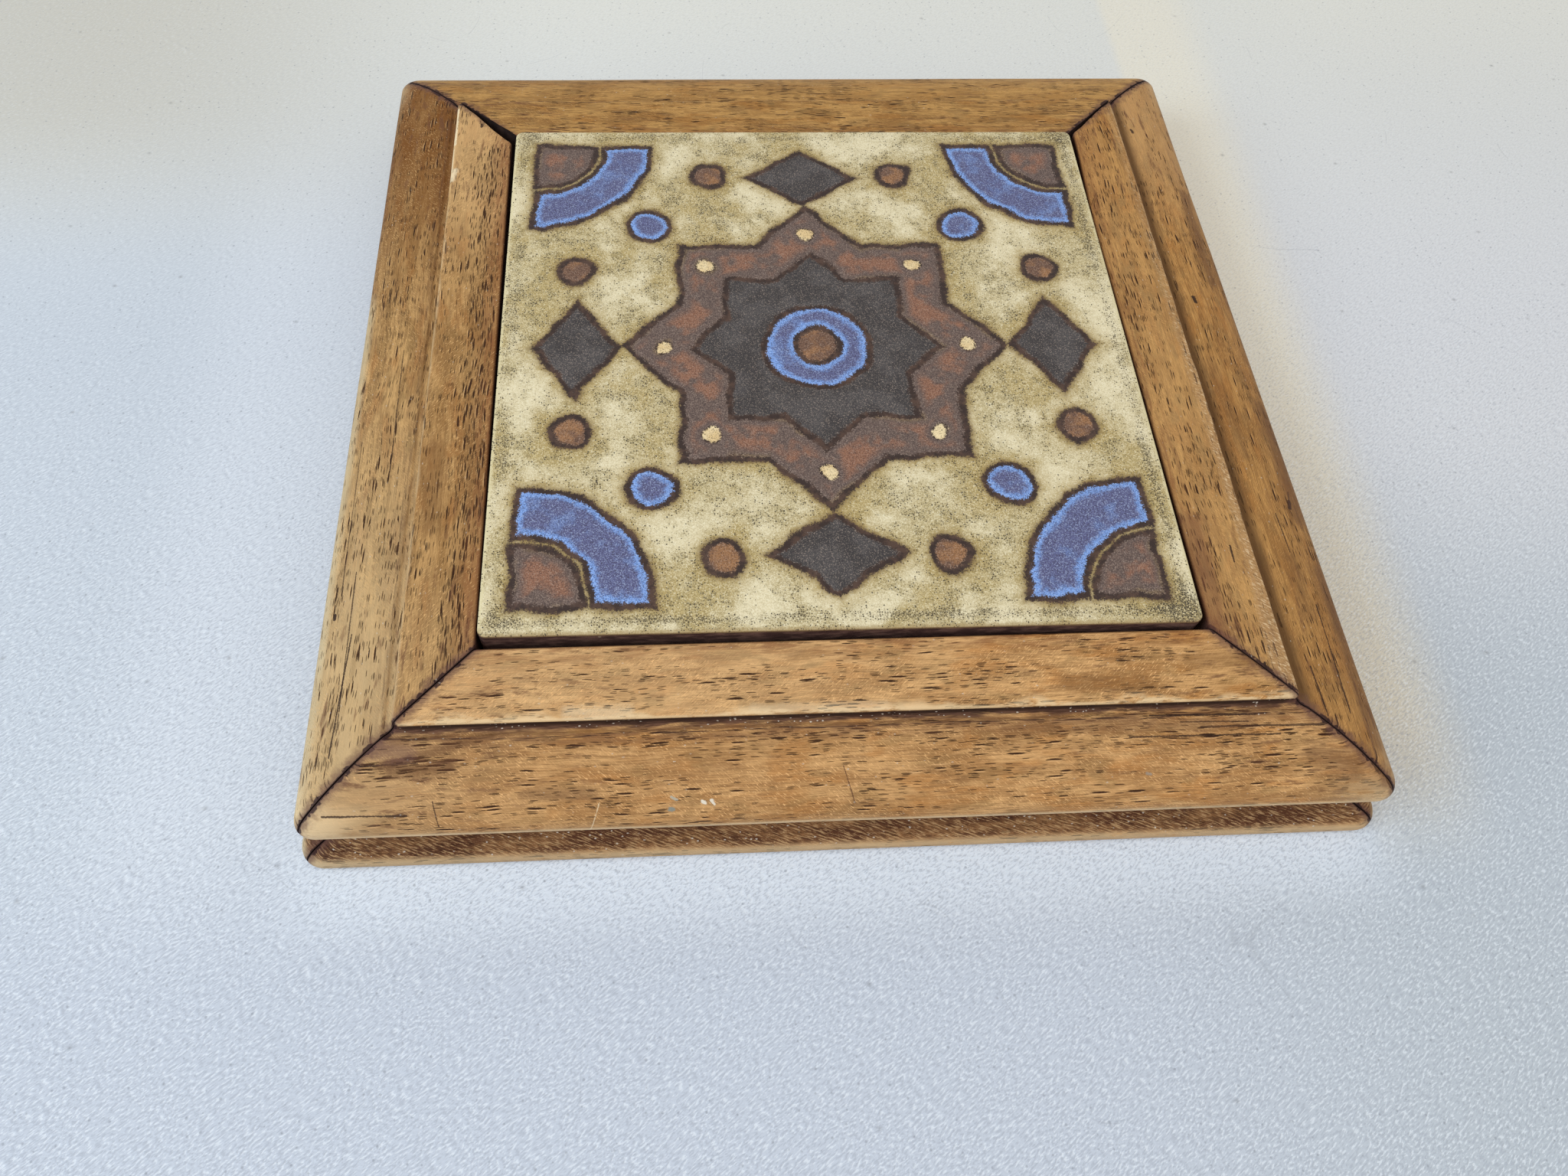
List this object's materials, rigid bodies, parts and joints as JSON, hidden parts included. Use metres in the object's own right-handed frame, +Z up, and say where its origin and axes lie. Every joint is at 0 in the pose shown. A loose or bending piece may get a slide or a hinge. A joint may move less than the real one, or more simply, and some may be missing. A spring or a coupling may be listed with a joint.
{
  "type": "trivet",
  "caption": "Square trivet: a glazed ceramic tile with a geometric star ornament, set in a mitred frame of moulded honey-brown hardwood on a half-round foot.",
  "frame": {"origin": "middle of the trivet's footprint, on the surface that it stands on", "axes": "+Z up through the tile, +Y to the back of the trivet, away from the viewer, +X to its right"},
  "size_m": [0.2252, 0.2252, 0.0285],
  "materials": {
    "rail_wood_front": "oiled open-pore hardwood, hand worn",
    "rail_wood_right": "oiled open-pore hardwood, hand worn",
    "rail_wood_back": "oiled open-pore hardwood, hand worn",
    "rail_wood_left": "oiled open-pore hardwood, hand worn",
    "plywood": "bare plywood",
    "steel": "plain wire and strip",
    "mastic": "set tile adhesive",
    "clay": "dark fired clay, brushed with dark glaze",
    "cream_glaze": "speckled satin glaze",
    "coloured_glaze": "brown, charcoal, rust, blue and cream satin glazes"
  },
  "bodies": {
    "root": {"front_rail": "rail_wood_front", "right_rail": "rail_wood_right", "back_rail": "rail_wood_back", "left_rail": "rail_wood_left", "mitre_nails": "steel", "backing_board": "plywood", "panel_pins": "steel", "tile_adhesive": "mastic", "tile_body": "clay", "tile_glaze": "cream_glaze", "glaze_ornament": "coloured_glaze"}
  },
  "joints": []
}
